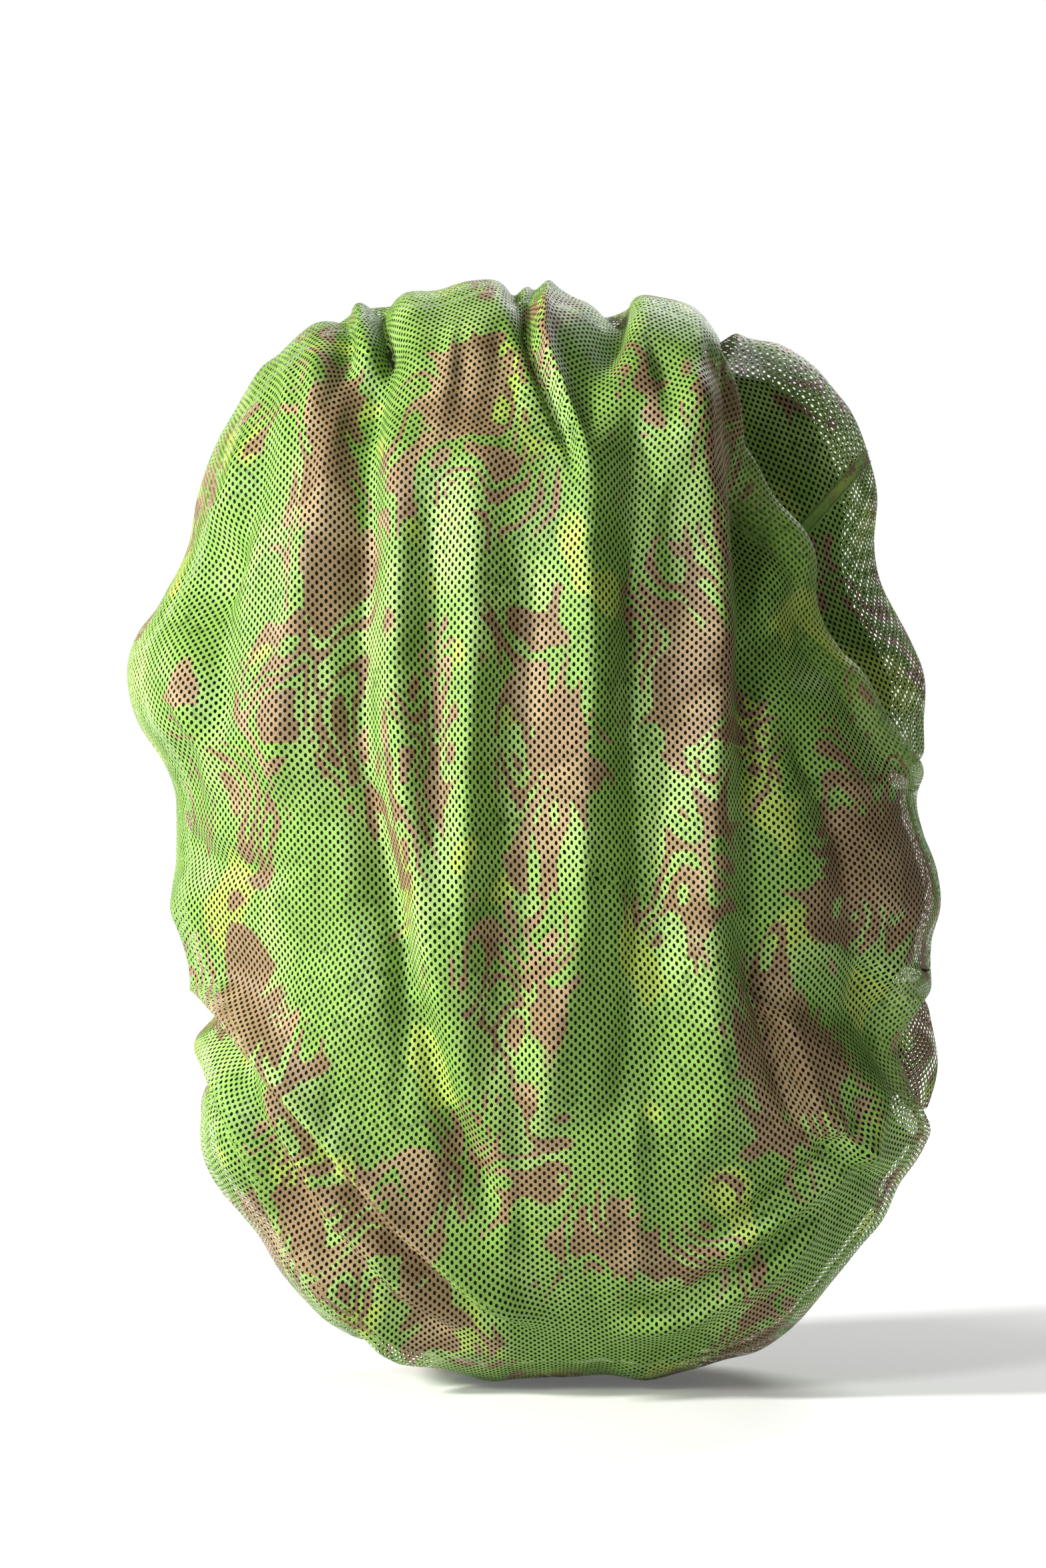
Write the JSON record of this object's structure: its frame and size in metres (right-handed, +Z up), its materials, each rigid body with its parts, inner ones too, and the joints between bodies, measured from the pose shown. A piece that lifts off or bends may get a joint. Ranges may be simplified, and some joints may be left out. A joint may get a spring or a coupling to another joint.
{
  "type": "camouflage rucksack cover",
  "caption": "Perforated camouflage mesh cover for a rucksack, with a drawcord hem and a buckled retaining strap.",
  "frame": {"origin": "middle of the filled cover at the level of its base, in the plane the sections are measured from", "axes": "+X to the right seen from behind the wearer, -Y out of the face, +Y towards the harness side, +Z up"},
  "size_m": [0.549, 0.3515, 0.7433],
  "materials": {
    "camo_mesh": "knitted eyelet mesh, printed camouflage",
    "hem_tape": "woven binding tape",
    "webbing": "ribbed webbing",
    "elastic_cord": "braided",
    "elastic_band": "ribbed elastic",
    "moulded_plastic": "fine moulded texture",
    "spring_steel": "drawn wire"
  },
  "bodies": {
    "cover": {"face_panel": "camo_mesh", "top_wall": "camo_mesh", "bottom_wall": "camo_mesh", "left_wall": "camo_mesh", "right_wall": "camo_mesh", "top_turn_in": "camo_mesh", "bottom_turn_in": "camo_mesh", "left_turn_in": "camo_mesh", "right_turn_in": "camo_mesh", "hem_casing": "hem_tape", "drawcord": "elastic_cord", "exit_patch": "webbing", "cord_end": "moulded_plastic", "left_anchor_patch": "webbing", "right_anchor_patch": "webbing", "fixed_strap": "webbing", "adjustable_strap": "webbing", "buckle_housing": "moulded_plastic", "buckle_tongue": "moulded_plastic"},
    "cord_lock": {"cord_lock_body": "moulded_plastic", "cord_lock_spring": "spring_steel"},
    "plunger": {"cord_lock_plunger": "moulded_plastic"},
    "arm_upper": {"buckle_arm_upper": "moulded_plastic"},
    "arm_lower": {"buckle_arm_lower": "moulded_plastic"},
    "keeper": {"strap_keeper": "elastic_band"}
  },
  "joints": [
    {"name": "lock_slide", "type": "slide", "parent": "cover", "child": "cord_lock", "axis": [0, 0, -1], "range_m": [0, 0.016]},
    {"name": "plunger_press", "type": "slide", "parent": "cord_lock", "child": "plunger", "axis": [-1, 0, 0], "range_m": [0, 0.0045], "stiffness_N_per_m": 300, "springref_m": -0.003, "deforming": ["cord_lock_spring"]},
    {"name": "arm_upper_squeeze", "type": "hinge", "parent": "cover", "child": "arm_upper", "pos_m": [0.0064, 0.1716, 0.3795], "axis": [0, -1, 0], "range_deg": [0, 8], "stiffness_Nm_per_rad": 0.5},
    {"name": "arm_lower_squeeze", "type": "hinge", "parent": "cover", "child": "arm_lower", "pos_m": [0.0064, 0.1716, 0.3635], "axis": [0, 1, 0], "range_deg": [0, 8], "stiffness_Nm_per_rad": 0.5},
    {"name": "keeper_slide", "type": "slide", "parent": "cover", "child": "keeper", "axis": [1, 0, 0], "range_m": [-0.018, 0.02]}
  ]
}
